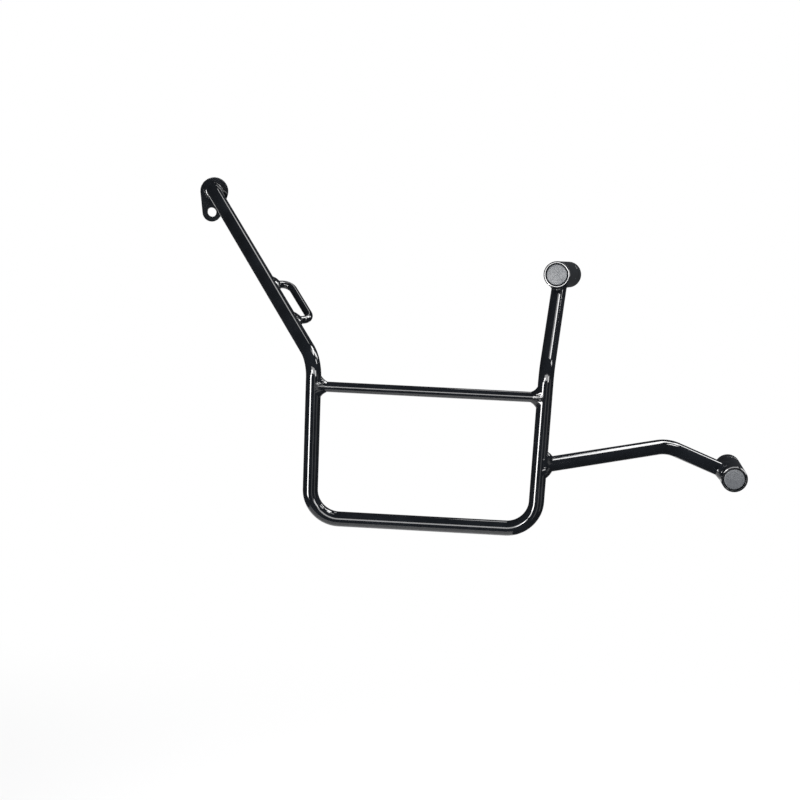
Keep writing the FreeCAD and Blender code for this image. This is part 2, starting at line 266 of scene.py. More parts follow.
class PannierFinish(PropertyGroup):
    """Colours of the coat, the rubber and the steel."""

    coat_dark: tint("Coat, dark", "Deepest colour of the black coat", (0.0022, 0.0026, 0.0034))
    coat_light: tint("Coat, light", "Palest colour of the black coat", (0.0055, 0.0064, 0.0080))
    rubber_dark: tint("Rubber, dark", "Darkest colour of the caps", (0.042, 0.045, 0.050))
    rubber_light: tint("Rubber, light", "Palest colour of the caps", (0.070, 0.074, 0.080))
    steel_dark: tint("Steel, dark", "Darkest colour of the bolts", (0.36, 0.36, 0.37))
    steel_light: tint("Steel, light", "Palest colour of the bolts", (0.60, 0.60, 0.61))


class PannierStudio(PropertyGroup):
    """Camera, floor and surroundings."""

    camera_place: place("Camera", "Place of the camera", (-0.066836, -1.373367, 0.160662))
    camera_turn: FloatVectorProperty(
        name="Camera turn", description="Angles of the camera", subtype="EULER", unit="ROTATION",
        default=(math.radians(78.587), math.radians(-2.252), math.radians(3.499)))
    camera_lens: FloatProperty(name="Lens", description="Focal length in millimetres", default=72.225)
    floor_gap: length("Floor gap", "From the lowest tube down to the floor", 0.75)
    floor_front: length("Floor front", "Front edge of the floor sheet", -1.0)
    floor_back: length("Floor back", "Back edge of the floor sheet", 1.7)
    floor_left: length("Floor left", "Left edge of the floor sheet", -1.1)
    floor_right: length("Floor right", "Right edge of the floor sheet", 0.66)
    floor_notch_side: length("Floor notch side", "Left edge of the notch under the strut", 0.10)
    floor_notch_back: length("Floor notch back", "Back edge of the notch under the strut", 0.75)
    fade_start: length("Fade start", "Where the floor sheet begins to run out to white", 0.2)
    fade_end: length("Fade end", "Where the floor sheet has run out to white", 1.6)
    floor_tint: tint("Floor", "Colour of the floor sheet", (0.76, 0.76, 0.76))
    backdrop_left: slope("Backdrop left", "Slope to the left edge", -0.1)
    backdrop_right: slope("Backdrop right", "Slope to the right edge", 0.0)
    backdrop_top: slope("Backdrop top", "Slope to the upper edge", -0.02)
    backdrop_soft: slope("Backdrop edge", "Softness of the edges", 0.02)
    backdrop_tint: tint("Backdrop", "Colour of the backdrop behind the frame", (1.0, 1.0, 1.0))
    room_tint: tint("Room", "Colour of the room", (0.050, 0.052, 0.056))


# Placing along and across the bars


def mount_line(name):
    """Point and direction of a mount."""
    return Vector(mounts[name]["pos_m"]), Vector(mounts[name]["axis"]).normalized()


def from_corner(sizes, x, y, z):
    """Point at an offset from the loop's lower rear corner."""
    return Vector(sizes.loop_corner) + Vector((x, y, z))


def loop_points(sizes):
    """Corners of the loop tube's centre line, from the tab to the foot of the riser."""
    height = sizes.inward_bend_height
    return [
        from_corner(sizes, *sizes.rear_end),
        from_corner(sizes, 0, 0, height),
        from_corner(sizes, 0, 0, 0),
        from_corner(sizes, sizes.loop_bottom_width, 0, 0),
        from_corner(sizes, sizes.loop_top_width, 0, height),
    ]


def bolted_joint(sizes, name):
    """Outer face, axis, lengths and bar meeting point of the upper or the lower boss."""
    seat, axis = mount_line(name + "_bolt")
    boss = getattr(sizes, name + "_boss_length")
    spacer = getattr(sizes, name + "_spacer_length")
    face = seat - axis * (boss + spacer)
    meeting = face + axis * getattr(sizes, name + "_joint_depth")
    return {"face": face, "axis": axis, "boss": boss, "spacer": spacer, "meeting": meeting}


def front_upright(sizes):
    """Foot of the front upright's line, and the run from there to its inward bend."""
    foot, bend = loop_points(sizes)[3:5]
    return foot, bend - foot


def on_front_upright(sizes, height):
    """Point on the front upright's centre line."""
    foot, run = front_upright(sizes)
    return foot + run * (height / sizes.inward_bend_height)


def strut_points(sizes):
    """Strut's centre line, from the front upright's to the lower boss's."""
    root = on_front_upright(sizes, sizes.strut_root_height)
    bend = from_corner(sizes, *sizes.strut_bend)
    return [root, bend, bolted_joint(sizes, "lower")["meeting"]]


def slant_line(sizes):
    """Foot and direction of the slanted run."""
    rear_end, rear_bend = loop_points(sizes)[:2]
    return rear_bend, (rear_end - rear_bend).normalized()


def hook_points(sizes):
    """Hook's centre line: level legs square to the slanted run, joined by a rod along it."""
    foot, slant = slant_line(sizes)
    reach = slant.cross(UP).normalized() * sizes.hook_reach
    low = foot + slant * (sizes.hook_from_bend - sizes.hook_length / 2)
    high = low + slant * sizes.hook_length
    return [low, low + reach, high + reach, high]


def cross_bar_points(sizes):
    """Ends of the cross bar's centre line, on those of the uprights."""
    rear = from_corner(sizes, 0, 0, sizes.cross_bar_height)
    return [rear, on_front_upright(sizes, sizes.cross_bar_height)]


class RoundCarrier:
    """Skin of a round bar, as something to land on, slide along and stand square to."""

    def __init__(self, point, axis, diameter):
        self.point = point
        self.axis = axis.normalized()
        self.radius = diameter / 2

    def from_axis(self, spot):
        """Shortest way from the bar's line to a spot."""
        return (spot - self.point) - self.axis * (spot - self.point).dot(self.axis)

    def normal(self, spot):
        """Direction square to the skin."""
        return self.from_axis(spot).normalized()

    def land(self, start, away):
        """Moves a point along a direction until it leaves the bar."""
        side = self.from_axis(start)
        run = away - self.axis * away.dot(self.axis)
        half = side.dot(run) / run.length_squared
        room = half ** 2 - (side.length_squared - self.radius ** 2) / run.length_squared
        return start + away * (math.sqrt(max(room, 0)) - half)

    def slide(self, spot, heading, distance):
        """Moves a point on the skin by a distance along the skin."""
        normal = self.normal(spot)
        moved = spot + (heading - normal * heading.dot(normal)).normalized() * distance
        return moved + self.normal(moved) * (self.radius - self.from_axis(moved).length)


class FlatCarrier:
    """Flat face, as something to land on, slide along and stand square to."""

    def __init__(self, point, face_normal):
        self.point = point
        self.face_normal = face_normal

    def normal(self, spot):
        """Direction square to the face, the same at every spot."""
        return self.face_normal

    def land(self, start, away):
        """Moves a point along a direction onto the face."""
        return start + away * ((self.point - start).dot(self.face_normal) / away.dot(self.face_normal))

    def slide(self, spot, heading, distance):
        """Moves a point on the face by a distance along the face."""
        return spot + (heading - self.face_normal * heading.dot(self.face_normal)).normalized() * distance


def tube_skin(sizes, point, axis, sink=0):
    """Skin of a run of the loop tube, or a surface sunk below it."""
    return RoundCarrier(point, axis, sizes.tube_diameter - 2 * sink)


def boss_skin(sizes, joint, sink=0):
    """Skin of a boss, or a surface sunk below it."""
    return RoundCarrier(joint["face"], joint["axis"], 2 * (sizes.boss_radius - sink))


# Shaping with bmesh


def verts_of(items):
    """The vertices among an operator's results."""
    return [item for item in items if isinstance(item, bmesh.types.BMVert)]


def edges_of(items):
    """The edges among an operator's results."""
    return [item for item in items if isinstance(item, bmesh.types.BMEdge)]


def on_axis(point, axis):
    """Matrix that brings the origin to a point and +Z to an axis."""
    return Matrix.Translation(point) @ axis.to_track_quat("Z", "Y").to_matrix().to_4x4()


def extrude_ring(bm, ring, shift):
    """Extrudes a ring of edges by a shift, and gives the new ring."""
    made = bmesh.ops.extrude_edge_only(bm, edges=ring)["geom"]
    bmesh.ops.translate(bm, vec=shift, verts=verts_of(made))
    return edges_of(made)


def round_edges(bm, edges, edge_round):
    """Rounds edges with a bevel."""
    bmesh.ops.bevel(
        bm, geom=edges, offset=edge_round, offset_type="OFFSET", segments=ROUND_STEPS, profile=0.5,
        affect="EDGES", clamp_overlap=True, material=-1)


def join_bmesh(bm, other):
    """Adds another bmesh to this one, and frees it."""
    mesh = bpy.data.meshes.new("joined_part")
    other.to_mesh(mesh)
    other.free()
    bm.from_mesh(mesh)
    bpy.data.meshes.remove(mesh)


def sweep_bar(points, bend_radius, diameter):
    """Open skin of a round bar along straight runs and tangent bends, with its first and last rings."""
    bm = bmesh.new()
    start = on_axis(points[0], points[1] - points[0])
    first = bmesh.ops.create_circle(bm, segments=BAR_SIDES, radius=diameter / 2, matrix=start)["verts"]
    ring = bm.edges[:]
    here = points[0]
    for before, corner, after in zip(points, points[1:], points[2:]):
        arriving = (corner - before).normalized()
        leaving = (after - corner).normalized()
        turn = arriving.angle(leaving)
        tangent = bend_radius * math.tan(turn / 2)
        enter = corner - arriving * tangent
        axis = arriving.cross(leaving).normalized()
        centre = enter + axis.cross(arriving) * bend_radius
        ring = extrude_ring(bm, ring, enter - here)
        made = bmesh.ops.spin(
            bm, geom=ring, cent=centre, axis=axis, angle=turn, steps=BEND_STEPS, use_duplicate=False)
        ring = edges_of(made["geom_last"])
        here = corner + leaving * tangent
    ring = extrude_ring(bm, ring, points[-1] - here)
    last = list(dict.fromkeys(vert for edge in ring for vert in edge.verts))
    return bm, first, last


def cope(verts, away, carrier):
    """Trims the end of a bar to what it meets, by moving its last ring along the bar."""
    for vert in verts:
        vert.co = carrier.land(vert.co, away)


def build_bar(context, name, node, points, bend_radius, diameter, carriers):
    """Builds a coated bar, coped to the two carriers that its ends meet."""
    bm, first, last = sweep_bar(points, bend_radius, diameter)
    cope(first, points[1] - points[0], carriers[0])
    cope(last, points[-2] - points[-1], carriers[1])
    bmesh.ops.holes_fill(bm, edges=[edge for edge in bm.edges if edge.is_boundary], sides=0)
    bmesh.ops.recalc_face_normals(bm, faces=bm.faces[:])
    finish_piece(bm, name, node, gloss_coat(context.scene.pannier_finish))


def spin_outline(outline, steps, closed=True):
    """Skin of a (radius, depth) outline turned about +Z. An open outline starts and ends on the axis."""
    bm = bmesh.new()
    verts = [bm.verts.new((radius, 0, depth)) for radius, depth in outline]
    for here, there in zip(verts, verts[1:] + verts[:1] if closed else verts[1:]):
        bm.edges.new((here, there))
    bmesh.ops.spin(
        bm, geom=bm.verts[:] + bm.edges[:], cent=(0, 0, 0), axis=UP, angle=math.tau, steps=steps,
        use_merge=True, use_duplicate=False)
    return bm


def turn_profile(points, closed=True):
    """Round solid of a (radius, depth, edge round) outline about +Z."""
    bm = spin_outline([point[:2] for point in points], TURNED_SIDES, closed)
    bmesh.ops.remove_doubles(bm, verts=bm.verts[:], dist=MERGE_DISTANCE)
    bmesh.ops.recalc_face_normals(bm, faces=bm.faces[:])
    for radius, depth, edge_round in points:
        if edge_round:
            ring = [edge for edge in bm.edges if all(is_on_ring(vert, radius, depth) for vert in edge.verts)]
            round_edges(bm, ring, edge_round)
    return bm


def is_on_ring(vert, radius, depth):
    """Whether a vertex of a turned piece lies on the ring at a radius and depth."""
    across = math.hypot(vert.co.x, vert.co.y) - radius
    return abs(across) < MERGE_DISTANCE and abs(vert.co.z - depth) < MERGE_DISTANCE


def set_behind_face(bm, joint, depth):
    """Moves a turned piece onto a boss's axis, at a depth behind the boss's outer face."""
    bm.transform(on_axis(joint["face"] + joint["axis"] * depth, joint["axis"]))


def bead_wave(angle, share, ripples, seed):
    """Ripple of a bead from 0 to 1, in crescents that trail behind its crest, and slow lumps from -1 to 1."""
    crescent = abs(math.sin(ripples * angle / 2 + RIPPLE_TRAIL * math.sin(math.pi * share)))
    broad = BROAD_LUMP_SHARE * math.sin(BROAD_LUMPS * angle + seed)
    close = CLOSE_LUMP_SHARE * math.sin(CLOSE_LUMPS * angle + CLOSE_LUMP_SHIFT * seed)
    return crescent, broad + close


def bead(sizes, root, away, diameter, carrier, legs, seed):
    """Weld bead round a bar where it meets its carrier, with legs up the bar and out along the carrier."""
    up, out, bulge = legs
    away = away.normalized()
    radius = diameter / 2
    sink = sizes.bead_sink
    ripples = round(math.tau * (radius + out / 2) / sizes.ripple_pitch)
    outline = [(radius - sink, -sink), (radius + out, -sink)]
    for step in range(BEAD_FACE_STEPS + 1):
        share = step / BEAD_FACE_STEPS
        outline.append((radius + out * (1 - share), up * share))
    outline.append((radius - sink, up))
    bm = spin_outline(outline, ripples * STEPS_PER_RIPPLE)
    turn = away.to_track_quat("Z", "Y")
    for vert in bm.verts:
        angle = math.atan2(vert.co.y, vert.co.x)
        outward = turn @ Vector((math.cos(angle), math.sin(angle), 0))
        across = math.hypot(vert.co.x, vert.co.y) - radius
        along = vert.co.z
        share = min(max(along / up, 0), 1)
        crescent, lumps = bead_wave(angle, share, ripples, seed)
        crown = math.sin(math.pi * share) * (across > -sink / 2)
        swell = crown * (bulge + sizes.ripple_height * crescent + sizes.lump_height * lumps)
        seam = carrier.land(root + outward * radius, away)
        foot = carrier.slide(seam, outward - away * CARRIER_WRAP, max(across, 0))
        normal = carrier.normal(foot)
        vert.co = foot + outward * min(across, 0) + away * max(along, 0) + normal * min(along, 0)
        vert.co += (normal + outward).normalized() * swell
    bmesh.ops.recalc_face_normals(bm, faces=bm.faces[:])
    return bm


def mesh_object(bm, name, material):
    """Turns a bmesh into an object of the scene with one material."""
    mesh = bpy.data.meshes.new(name)
    bm.to_mesh(mesh)
    bm.free()
    mesh.materials.append(material)
    made = bpy.data.objects.new(name, mesh)
    bpy.context.scene.collection.objects.link(made)
    return made


def finish_piece(bm, name, node, material, has_flats=False):
    """Turns a bmesh into a smooth piece that rides on the frame and stands for a node."""
    piece = mesh_object(bm, name, material)
    piece.data.shade_smooth()
    piece.data.set_sharp_from_angle(angle=SHARP_ANGLE)
    if has_flats:
        flats = piece.modifiers.new("flats", "WEIGHTED_NORMAL")
        flats.mode = "FACE_AREA"
        flats.weight = FLAT_WEIGHT
        flats.keep_sharp = True
    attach(piece, "root")
    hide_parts(node)


# Finishes


def add_range(tree, value, limits, kind="LINEAR"):
    """Output of a new Map Range node, with some of its limits set."""
    node = tree.nodes.new("ShaderNodeMapRange")
    node.interpolation_type = kind
    for limit, number in limits.items():
        node.inputs[limit].default_value = number
    tree.links.new(value, node.inputs["Value"])
    return node.outputs["Result"]


def mix_colours(tree, factor, first, second):
    """Output of a new node that runs from one colour to another."""
    node = tree.nodes.new("ShaderNodeMix")
    node.data_type = "RGBA"
    node.inputs["A"].default_value = (*first, 1)
    node.inputs["B"].default_value = (*second, 1)
    tree.links.new(factor, node.inputs["Factor"])
    return node.outputs["Result"]


def combine(tree, operation, first, second):
    """Output of a new Math node that combines two outputs."""
    node = tree.nodes.new("ShaderNodeMath")
    node.operation = operation
    tree.links.new(first, node.inputs[0])
    tree.links.new(second, node.inputs[1])
    return node.outputs["Value"]


def surface_grain():
    """Group: slow drift and fine grain of a surface, each from 0 to 1."""
    if "surface_grain" in bpy.data.node_groups:
        return bpy.data.node_groups["surface_grain"]
    group = bpy.data.node_groups.new("surface_grain", "ShaderNodeTree")
    group.interface.new_socket(name="Vector", in_out="INPUT", socket_type="NodeSocketVector")
    for label in ("Drift", "Grain"):
        group.interface.new_socket(name=label + " Scale", in_out="INPUT", socket_type="NodeSocketFloat")
        group.interface.new_socket(name=label, in_out="OUTPUT", socket_type="NodeSocketFloat")
    given = group.nodes.new("NodeGroupInput")
    wanted = group.nodes.new("NodeGroupOutput")
    for label, detail in (("Drift", DRIFT_DETAIL), ("Grain", GRAIN_DETAIL)):
        noise = group.nodes.new("ShaderNodeTexNoise")
        noise.inputs["Detail"].default_value = detail
        group.links.new(given.outputs["Vector"], noise.inputs["Vector"])
        group.links.new(given.outputs[label + " Scale"], noise.inputs["Scale"])
        spread = add_range(group, noise.outputs["Fac"], {"From Min": NOISE_LOW, "From Max": NOISE_HIGH})
        group.links.new(spread, wanted.inputs[label])
    return group


def grained_material(name, dark, light, smoothest, roughest, drift_scale, grain_scale, grain_depth,
                     grain_in_colour, refraction=1.5, metallic=0.0):
    """Material whose colour and roughness drift over the surface, with a fine grain in its relief."""
    if name in bpy.data.materials:
        return bpy.data.materials[name]
    material = bpy.data.materials.new(name)
    material.use_nodes = True
    tree = material.node_tree
    shader = tree.nodes["Principled BSDF"]
    shader.inputs["IOR"].default_value = refraction
    shader.inputs["Metallic"].default_value = metallic
    places = tree.nodes.new("ShaderNodeTexCoord")
    grain = tree.nodes.new("ShaderNodeGroup")
    grain.node_tree = surface_grain()
    grain.inputs["Drift Scale"].default_value = drift_scale
    grain.inputs["Grain Scale"].default_value = grain_scale
    tree.links.new(places.outputs["Object"], grain.inputs["Vector"])
    blend = tree.nodes.new("ShaderNodeMix")
    blend.inputs["Factor"].default_value = grain_in_colour
    tree.links.new(grain.outputs["Drift"], blend.inputs["A"])
    tree.links.new(grain.outputs["Grain"], blend.inputs["B"])
    colour = mix_colours(tree, blend.outputs["Result"], dark, light)
    tree.links.new(colour, shader.inputs["Base Color"])
    gloss = add_range(tree, grain.outputs["Drift"], {"To Min": smoothest, "To Max": roughest})
    tree.links.new(gloss, shader.inputs["Roughness"])
    relief = tree.nodes.new("ShaderNodeBump")
    relief.inputs["Strength"].default_value = 1
    relief.inputs["Distance"].default_value = grain_depth
    tree.links.new(grain.outputs["Grain"], relief.inputs["Height"])
    tree.links.new(relief.outputs["Normal"], shader.inputs["Normal"])
    return material


def gloss_coat(finish):
    """Gloss black powder coat, with the slight orange peel of a baked finish."""
    return grained_material(
        "gloss_coat", finish.coat_dark, finish.coat_light, smoothest=0.05, roughest=0.09,
        drift_scale=45, grain_scale=420, grain_depth=0.000004, grain_in_colour=0.2)


def bead_coat(finish):
    """The same coat over the rough skin of a weld bead."""
    return grained_material(
        "bead_coat", finish.coat_dark, finish.coat_light, smoothest=0.07, roughest=0.14,
        drift_scale=120, grain_scale=900, grain_depth=0.000015, grain_in_colour=0.3)


def grey_rubber(finish):
    """Matte grey rubber with a fine moulded texture."""
    return grained_material(
        "grey_rubber", finish.rubber_dark, finish.rubber_light, smoothest=0.36, roughest=0.44,
        drift_scale=260, grain_scale=1800, grain_depth=0.00002, grain_in_colour=0.6, refraction=1.45)


def turned_steel(finish):
    """Plain turned steel."""
    return grained_material(
        "turned_steel", finish.steel_dark, finish.steel_light, smoothest=0.24, roughest=0.42,
        drift_scale=220, grain_scale=2600, grain_depth=0.000004, grain_in_colour=0.4, metallic=1.0)


# Pieces


class PANNIER_OT_loop_tube(Operator):
    """Build the loop tube, from the rear tab down round the loop and up to the upper boss"""
    bl_idname = "pannier.loop_tube"
    bl_label = "Loop tube"

    def execute(self, context):
        sizes = context.scene.pannier_sizes
        upper = bolted_joint(sizes, "upper")
        points = loop_points(sizes) + [upper["meeting"]]
        tab_face = FlatCarrier(points[0], INBOARD)
        boss = boss_skin(sizes, upper, sizes.bead_sink)
        build_bar(
            context, "loop_tube", "main_loop_tube", points, sizes.tube_bend_radius, sizes.tube_diameter,
            (tab_face, boss))
        return {"FINISHED"}


class PANNIER_OT_cross_bar(Operator):
    """Build the cross bar between the two uprights"""
    bl_idname = "pannier.cross_bar"
    bl_label = "Cross bar"

    def execute(self, context):
        sizes = context.scene.pannier_sizes
        points = cross_bar_points(sizes)
        rear_skin = tube_skin(sizes, points[0], UP, sizes.bead_sink)
        front_skin = tube_skin(sizes, *front_upright(sizes), sizes.bead_sink)
        build_bar(
            context, "cross_rod", "cross_bar", points, 0, sizes.cross_bar_diameter, (rear_skin, front_skin))
        return {"FINISHED"}


class PANNIER_OT_front_strut(Operator):
    """Build the strut from the front upright to the lower boss"""
    bl_idname = "pannier.front_strut"
    bl_label = "Front strut"

    def execute(self, context):
        sizes = context.scene.pannier_sizes
        upright = tube_skin(sizes, *front_upright(sizes), sizes.bead_sink)
        boss = boss_skin(sizes, bolted_joint(sizes, "lower"), sizes.bead_sink)
        build_bar(
            context, "strut_tube", "front_strut", strut_points(sizes), sizes.strut_bend_radius,
            sizes.tube_diameter, (upright, boss))
        return {"FINISHED"}


class PANNIER_OT_lashing_hook(Operator):
    """Build the lashing hook on the slanted run"""
    bl_idname = "pannier.lashing_hook"
    bl_label = "Lashing hook"

    def execute(self, context):
        sizes = context.scene.pannier_sizes
        slanted = tube_skin(sizes, *slant_line(sizes), sizes.bead_sink)
        build_bar(
            context, "hook_rod", "lashing_hook", hook_points(sizes), sizes.hook_bend_radius,
            sizes.hook_rod_diameter, (slanted, slanted))
        return {"FINISHED"}


class PANNIER_OT_rear_tab(Operator):
    """Build the rear mounting tab, with its hole and softened edges"""
    bl_idname = "pannier.rear_tab"
    bl_label = "Rear tab"

    def execute(self, context):
        sizes = context.scene.pannier_sizes
        seat = loop_points(sizes)[0]
        hole = mount_line("rear_hole")[0]
        hole.y = seat.y
        hole_radius = mounts["rear_hole"]["dims"]["r_mm"] * MILLIMETRE
        along = (hole - seat).normalized()
        lean = math.asin((sizes.tab_seat_radius - sizes.tab_nose_radius) / (hole - seat).length)
        touch = along.cross(INBOARD) * math.cos(lean) + along * math.sin(lean)
        bm = bmesh.new()
        start = bm.verts.new(hole + touch * sizes.tab_nose_radius)
        nose = bmesh.ops.spin(
            bm, geom=[start], cent=hole, axis=INBOARD, angle=math.pi - 2 * lean, steps=BEND_STEPS,
            use_duplicate=False)["geom_last"][0]
        other = bm.verts.new(seat + (nose.co - hole) * (sizes.tab_seat_radius / sizes.tab_nose_radius))
        bm.edges.new((nose, other))
        end = bmesh.ops.spin(
            bm, geom=[other], cent=seat, axis=INBOARD, angle=math.pi + 2 * lean, steps=2 * BEND_STEPS,
            use_duplicate=False)["geom_last"][0]
        bm.edges.new((end, start))
        bmesh.ops.create_circle(bm, segments=BAR_SIDES, radius=hole_radius, matrix=on_axis(hole, INBOARD))
        bmesh.ops.triangle_fill(bm, use_beauty=True, edges=bm.edges[:])
        made = bmesh.ops.extrude_face_region(bm, geom=bm.faces[:])["geom"]
        bmesh.ops.translate(bm, vec=INBOARD * sizes.tab_thickness, verts=verts_of(made))
        bmesh.ops.recalc_face_normals(bm, faces=bm.faces[:])
        corners = [edge for edge in bm.edges if edge.calc_face_angle(0) > SHARP_ANGLE]
        round_edges(bm, corners, sizes.tab_edge_round)
        coat = gloss_coat(context.scene.pannier_finish)
        finish_piece(bm, "tab_plate", "rear_tab", coat, has_flats=True)
        return {"FINISHED"}


class PANNIER_OT_weld_beads(Operator):
    """Build the weld beads that join the bars, the bosses and the tab"""
    bl_idname = "pannier.weld_beads"
    bl_label = "Weld beads"

    def execute(self, context):
        sizes = context.scene.pannier_sizes
        upper = bolted_joint(sizes, "upper")
        rear_end, rear_bend, _, _, front_bend = loop_points(sizes)
        rear, front = cross_bar_points(sizes)
        hook = hook_points(sizes)
        root, strut_bend, meeting = strut_points(sizes)
        tube = sizes.tube_diameter
        bar = sizes.cross_bar_diameter
        rod = sizes.hook_rod_diameter
        upright = tube_skin(sizes, *front_upright(sizes))
        slanted = tube_skin(sizes, *slant_line(sizes))
        upper_skin = boss_skin(sizes, upper)
        lower_skin = boss_skin(sizes, bolted_joint(sizes, "lower"))
        # Node, bead's lengths, start of the bar's line and the next point on it, bar diameter, carrier
        beads = [
            ("cross_bar_rear_weld", sizes.bar_bead, rear, front, bar, tube_skin(sizes, rear, UP)),
            ("cross_bar_front_weld", sizes.bar_bead, front, rear, bar, upright),
            ("hook_lower_weld", sizes.hook_bead, hook[0], hook[1], rod, slanted),
            ("hook_upper_weld", sizes.hook_bead, hook[3], hook[2], rod, slanted),
            ("strut_weld", sizes.strut_bead, root, strut_bend, tube, upright),
            ("upper_boss_weld", sizes.upper_bead, upper["meeting"], front_bend, tube, upper_skin),
            ("lower_boss_weld", sizes.lower_bead, meeting, strut_bend, tube, lower_skin),
            ("rear_tab_weld", sizes.tab_bead, rear_end, rear_bend, tube, FlatCarrier(rear_end, -INBOARD)),
        ]
        coat = bead_coat(context.scene.pannier_finish)
        for seed, (node, legs, start, towards, diameter, carrier) in enumerate(beads):
            bm = bead(sizes, start, towards - start, diameter, carrier, legs, seed)
            finish_piece(bm, node.replace("weld", "bead"), node, coat)
        return {"FINISHED"}


class PANNIER_OT_mounting_bosses(Operator):
    """Turn the two bosses and the spacers behind them"""
    bl_idname = "pannier.mounting_bosses"
    bl_label = "Mounting bosses"

    def execute(self, context):
        sizes = context.scene.pannier_sizes
        coat = gloss_coat(context.scene.pannier_finish)
        edge = sizes.sleeve_edge_round
        floor = sizes.washer_depth + sizes.washer_thickness
        mouth = sizes.cap_recess_radius + sizes.mouth_step
        lip = sizes.cap_recess_radius - sizes.cap_flange
        lip_end = sizes.mouth_depth + sizes.mouth_lip
        for name in ("upper", "lower"):
            joint = bolted_joint(sizes, name)
            bm = turn_profile([
                (mouth, 0, sizes.mouth_round),
                (sizes.boss_radius - sizes.rim_width, 0, sizes.rim_round),
                (sizes.boss_radius, sizes.rim_depth, sizes.rim_round),
                (sizes.boss_radius, joint["boss"], edge),
                (sizes.bolt_bore_radius, joint["boss"], 0),
                (sizes.bolt_bore_radius, floor, 0),
                (sizes.bolt_recess_radius, floor, 0),
                (sizes.bolt_recess_radius, sizes.cap_thickness, 0),
                (sizes.cap_recess_radius, sizes.cap_thickness, 0),
                (sizes.cap_recess_radius, lip_end, 0),
                (lip, lip_end, 0),
                (lip, sizes.mouth_depth, 0),
            ])
            set_behind_face(bm, joint, 0)
            finish_piece(bm, "boss_" + name, name + "_boss", coat, has_flats=True)
            bm = turn_profile([
                (sizes.bolt_bore_radius, 0, 0),
                (sizes.boss_radius, 0, edge),
                (sizes.boss_radius, joint["spacer"], edge),
                (sizes.bolt_bore_radius, joint["spacer"], sizes.bore_edge_round),
            ])
            set_behind_face(bm, joint, joint["boss"])
            finish_piece(bm, "spacer_" + name, name + "_spacer", coat, has_flats=True)
        return {"FINISHED"}


class PANNIER_OT_boss_caps(Operator):
    """Mould the rubber caps in the mouths of the bosses"""
    bl_idname = "pannier.boss_caps"
    bl_label = "Boss caps"

    def execute(self, context):
        sizes = context.scene.pannier_sizes
        rubber = grey_rubber(context.scene.pannier_finish)
        flange = sizes.cap_recess_radius - sizes.cap_clearance
        button = flange - sizes.cap_flange
        skirt = sizes.bolt_recess_radius - sizes.cap_clearance
        inner = skirt - sizes.cap_skirt_wall
        thickness = sizes.cap_thickness
        flange_top = sizes.mouth_depth + sizes.mouth_lip + sizes.cap_clearance
        skirt_end = thickness + sizes.cap_skirt
        dome_radius = (button ** 2 + sizes.cap_dome ** 2) / (2 * sizes.cap_dome)
        crown = sizes.cap_sink - sizes.cap_dome

        def dome_depth(across):
            """Depth of the dome behind the boss's outer face, at a distance from the axis."""
            return crown + dome_radius - math.sqrt(dome_radius ** 2 - across ** 2)

        rings = [button * step / DOME_STEPS for step in range(DOME_STEPS)]
        for name, rib_turn in (("upper", sizes.cap_rib_turn), ("lower", 0)):
            bm = turn_profile(
                [(across, dome_depth(across), 0) for across in rings] + [
                    (button, sizes.cap_sink, sizes.cap_edge_round),
                    (button, flange_top, 0),
                    (flange, flange_top, 0),
                    (flange, thickness, 0),
                    (skirt, thickness, 0),
                    (skirt, skirt_end, 0),
                    (inner, skirt_end, 0),
                    (inner, thickness, 0),
                    (0, thickness, 0),
                ], closed=False)
            add_cap_ribs(bm, sizes, button - 2 * sizes.cap_edge_round, dome_depth, rib_turn)
            set_behind_face(bm, bolted_joint(sizes, name), 0)
            finish_piece(bm, "cap_" + name, name + "_cap", rubber)
        return {"FINISHED"}


def add_cap_ribs(bm, sizes, reach, dome_depth, rib_turn):
    """Adds a low moulded cross to a cap's dome: two ribs that follow the dome, rooted a little below it."""
    half = sizes.cap_rib_width / 2
    rise = sizes.cap_rib_height
    for turn in (rib_turn, rib_turn + math.pi / 2):
        rib = bmesh.new()
        bmesh.ops.create_grid(rib, x_segments=RIB_STEPS, y_segments=1, size=1)
        made = bmesh.ops.extrude_face_region(rib, geom=rib.faces[:])["geom"]
        for vert in verts_of(made):
            vert.co = (vert.co.x * RIB_TOP_LENGTH, vert.co.y * RIB_TOP_WIDTH, 1)
        for vert in rib.verts:
            across = vert.co.x * reach
            beside = vert.co.y * half
            depth = dome_depth(math.hypot(across, beside)) + rise * (1 - 2 * vert.co.z)
            vert.co = Matrix.Rotation(turn, 3, "Z") @ Vector((across, beside, depth))
        bmesh.ops.recalc_face_normals(rib, faces=rib.faces[:])
        join_bmesh(bm, rib)


class PANNIER_OT_bolts(Operator):
    """Turn the bolts and washers under the caps, with their socket and thread"""
    bl_idname = "pannier.bolts"
    bl_label = "Bolts and washers"

    def execute(self, context):
        sizes = context.scene.pannier_sizes
        steel = turned_steel(context.scene.pannier_finish)
        edge = sizes.bolt_edge_round
        for name in ("upper", "lower"):
            joint = bolted_joint(sizes, name)
            shank_end = joint["boss"] + joint["spacer"] - sizes.washer_depth
            bm = bolt_body(sizes, shank_end)
            bolt_thread(bm, sizes, shank_end)
            set_behind_face(bm, joint, sizes.washer_depth)
            finish_piece(bm, "bolt_" + name, name + "_bolt", steel, has_flats=True)
            bm = turn_profile([
                (sizes.bolt_bore_radius, 0, edge),
                (sizes.washer_radius, 0, edge),
                (sizes.washer_radius, sizes.washer_thickness, edge),
                (sizes.bolt_bore_radius, sizes.washer_thickness, edge),
            ])
            set_behind_face(bm, joint, sizes.washer_depth)
            finish_piece(bm, "washer_" + name, name + "_washer", steel, has_flats=True)
        return {"FINISHED"}


